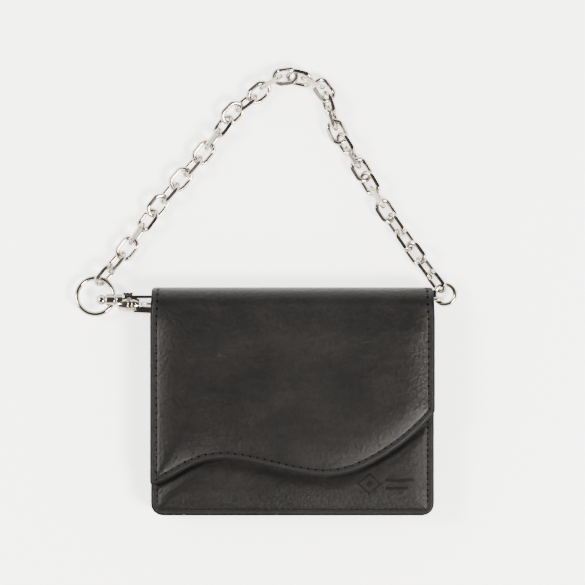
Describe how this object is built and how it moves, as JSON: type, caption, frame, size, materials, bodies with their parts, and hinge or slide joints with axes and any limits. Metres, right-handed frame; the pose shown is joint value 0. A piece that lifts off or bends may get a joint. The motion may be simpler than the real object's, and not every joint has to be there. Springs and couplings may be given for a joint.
{
  "type": "chain wallet",
  "caption": "Small flap wallet lying on its back, with a D-ring at each side and a link chain that runs from a swivel snap hook to a plain ring.",
  "frame": {"origin": "middle of the back panel's flat outer face, which the wallet lies on", "axes": "+X along the spine, from the snap hook's side to the plain ring's side; +Y in the plane of the back panel, from the flap's free edge towards the spine and the chain; +Z out of the back panel towards the flap"},
  "size_m": [0.1553, 0.1819, 0.016],
  "materials": {
    "black_leather": "smooth black cowhide, finely grained, soft satin sheen",
    "pocket_leather": "thin black split leather",
    "lining_cloth": "black woven lining",
    "foam": "thin felted padding",
    "nickel_plate": "polished nickel plate",
    "plain_steel": "plain steel",
    "magnet": "nickel-coated magnet"
  },
  "bodies": {
    "wallet": {"outer_back": "black_leather", "back_lining": "lining_cloth", "divider": "black_leather", "card_pocket_back": "pocket_leather", "card_pocket_front": "pocket_leather", "front_panel": "black_leather", "front_lining": "lining_cloth", "gusset_left": "black_leather", "gusset_right": "black_leather", "snap_plate": "plain_steel", "tab_left": "black_leather", "tab_right": "black_leather"},
    "flap": {"outer_flap": "black_leather", "flap_filler": "foam", "flap_lining": "lining_cloth", "snap_magnet": "magnet"},
    "d_ring_left": {"d_ring_left": "nickel_plate"},
    "d_ring_right": {"d_ring_right": "nickel_plate"},
    "hook": {"hook_body": "nickel_plate", "gate_pin": "plain_steel", "gate_spring": "plain_steel", "swivel_post": "nickel_plate"},
    "gate": {"hook_gate": "nickel_plate"},
    "chain": {"swivel_ring": "nickel_plate", "end_ring": "nickel_plate", "link_01": "nickel_plate", "link_03": "nickel_plate", "link_05": "nickel_plate", "link_07": "nickel_plate", "link_09": "nickel_plate", "link_11": "nickel_plate", "link_13": "nickel_plate", "link_15": "nickel_plate", "link_17": "nickel_plate", "link_19": "nickel_plate", "link_21": "nickel_plate", "link_23": "nickel_plate", "link_25": "nickel_plate", "link_27": "nickel_plate", "link_29": "nickel_plate", "link_31": "nickel_plate", "link_33": "nickel_plate"},
    "link_02_body": {"link_02": "nickel_plate"},
    "link_04_body": {"link_04": "nickel_plate"},
    "link_06_body": {"link_06": "nickel_plate"},
    "link_08_body": {"link_08": "nickel_plate"},
    "link_10_body": {"link_10": "nickel_plate"},
    "link_12_body": {"link_12": "nickel_plate"},
    "link_14_body": {"link_14": "nickel_plate"},
    "link_16_body": {"link_16": "nickel_plate"},
    "link_18_body": {"link_18": "nickel_plate"},
    "link_20_body": {"link_20": "nickel_plate"},
    "link_22_body": {"link_22": "nickel_plate"},
    "link_24_body": {"link_24": "nickel_plate"},
    "link_26_body": {"link_26": "nickel_plate"},
    "link_28_body": {"link_28": "nickel_plate"},
    "link_30_body": {"link_30": "nickel_plate"},
    "link_32_body": {"link_32": "nickel_plate"},
    "link_34_body": {"link_34": "nickel_plate"}
  },
  "joints": [
    {"name": "flap_fold", "type": "hinge", "parent": "wallet", "child": "flap", "pos_m": [0, 0.04615, 0.008], "axis": [-1, 0, 0], "range_deg": [0, 100]},
    {"name": "chain_swing", "type": "hinge", "parent": "wallet", "child": "chain", "pos_m": [0.05998, 0.03968, 0.0052], "axis": [-1, 0.0098, 0], "range_deg": [-34, 0]},
    {"name": "gate_open", "type": "hinge", "parent": "hook", "child": "gate", "pos_m": [-0.0663, 0.041, 0.0052], "axis": [0, 0, -1], "range_deg": [0, 14], "stiffness_Nm_per_rad": 0.02, "springref_deg": -17.19},
    {"name": "hook_turn", "type": "hinge", "parent": "wallet", "child": "hook", "pos_m": [-0.07, 0.041, 0.0052], "axis": [1, 0, 0], "range_deg": [-12, 4]},
    {"name": "d_ring_left_turn", "type": "hinge", "parent": "wallet", "child": "d_ring_left", "pos_m": [-0.05095, 0.0394, 0.0052], "axis": [0, 0, 1], "range_deg": [-8, 1]},
    {"name": "d_ring_right_turn", "type": "hinge", "parent": "wallet", "child": "d_ring_right", "pos_m": [0.05095, 0.0413, 0.0052], "axis": [0, 0, 1], "range_deg": [0, 5]},
    {"name": "roll_link_02", "type": "hinge", "parent": "chain", "child": "link_02_body", "pos_m": [-0.07165, 0.0565, 0.0042], "axis": [0.6444, 0.7647, 0], "range_deg": [-10, 10]},
    {"name": "roll_link_04", "type": "hinge", "parent": "chain", "child": "link_04_body", "pos_m": [-0.06293, 0.06767, 0.0042], "axis": [0.5857, 0.8106, 0], "range_deg": [-7, 9]},
    {"name": "roll_link_06", "type": "hinge", "parent": "chain", "child": "link_06_body", "pos_m": [-0.0546, 0.0792, 0.0042], "axis": [0.6197, 0.7849, 0], "range_deg": [-9, 10]},
    {"name": "roll_link_08", "type": "hinge", "parent": "chain", "child": "link_08_body", "pos_m": [-0.0453, 0.09, 0.0042], "axis": [0.6525, 0.7578, 0], "range_deg": [-10, 10]},
    {"name": "roll_link_10", "type": "hinge", "parent": "chain", "child": "link_10_body", "pos_m": [-0.036, 0.1008, 0.0042], "axis": [0.6219, 0.7831, 0], "range_deg": [-10, 10]},
    {"name": "roll_link_12", "type": "hinge", "parent": "chain", "child": "link_12_body", "pos_m": [-0.0282, 0.11153, 0.0042], "axis": [0.5879, 0.809, 0], "range_deg": [-6, 10]},
    {"name": "roll_link_14", "type": "hinge", "parent": "chain", "child": "link_14_body", "pos_m": [-0.01895, 0.12105, 0.0042], "axis": [0.7901, 0.6129, 0], "range_deg": [-10, 10]},
    {"name": "roll_link_16", "type": "hinge", "parent": "chain", "child": "link_16_body", "pos_m": [-0.0088, 0.1294, 0.0044], "axis": [0.8488, 0.5285, 0.016], "range_deg": [-8, 10]},
    {"name": "roll_link_18", "type": "hinge", "parent": "chain", "child": "link_18_body", "pos_m": [0.0028, 0.131, 0.0044], "axis": [0.9741, -0.2261, 0], "range_deg": [-4, 10]},
    {"name": "roll_link_20", "type": "hinge", "parent": "chain", "child": "link_20_body", "pos_m": [0.0128, 0.1262, 0.0046], "axis": [0.5969, -0.8021, -0.0187], "range_deg": [-7, 10]},
    {"name": "roll_link_22", "type": "hinge", "parent": "chain", "child": "link_22_body", "pos_m": [0.0164, 0.1149, 0.0042], "axis": [0.3011, -0.9536, 0], "range_deg": [-7, 10]},
    {"name": "roll_link_24", "type": "hinge", "parent": "chain", "child": "link_24_body", "pos_m": [0.02147, 0.10407, 0.0042], "axis": [0.5369, -0.8437, 0], "range_deg": [-10, 10]},
    {"name": "roll_link_26", "type": "hinge", "parent": "chain", "child": "link_26_body", "pos_m": [0.028, 0.0938, 0.0042], "axis": [0.5242, -0.8516, 0], "range_deg": [-7, 10]},
    {"name": "roll_link_28", "type": "hinge", "parent": "chain", "child": "link_28_body", "pos_m": [0.0346, 0.08273, 0.0042], "axis": [0.5122, -0.8589, 0], "range_deg": [-10, 8]},
    {"name": "roll_link_30", "type": "hinge", "parent": "chain", "child": "link_30_body", "pos_m": [0.04187, 0.07147, 0.00427], "axis": [0.5689, -0.8223, 0.0096], "range_deg": [-10, 10]},
    {"name": "roll_link_32", "type": "hinge", "parent": "chain", "child": "link_32_body", "pos_m": [0.0498, 0.06, 0.0044], "axis": [0.584, -0.8112, 0.0294], "range_deg": [-10, 10]},
    {"name": "roll_link_34", "type": "hinge", "parent": "chain", "child": "link_34_body", "pos_m": [0.0584, 0.0485, 0.0051], "axis": [0.5982, -0.7999, 0.0487], "range_deg": [-7, 10]}
  ]
}
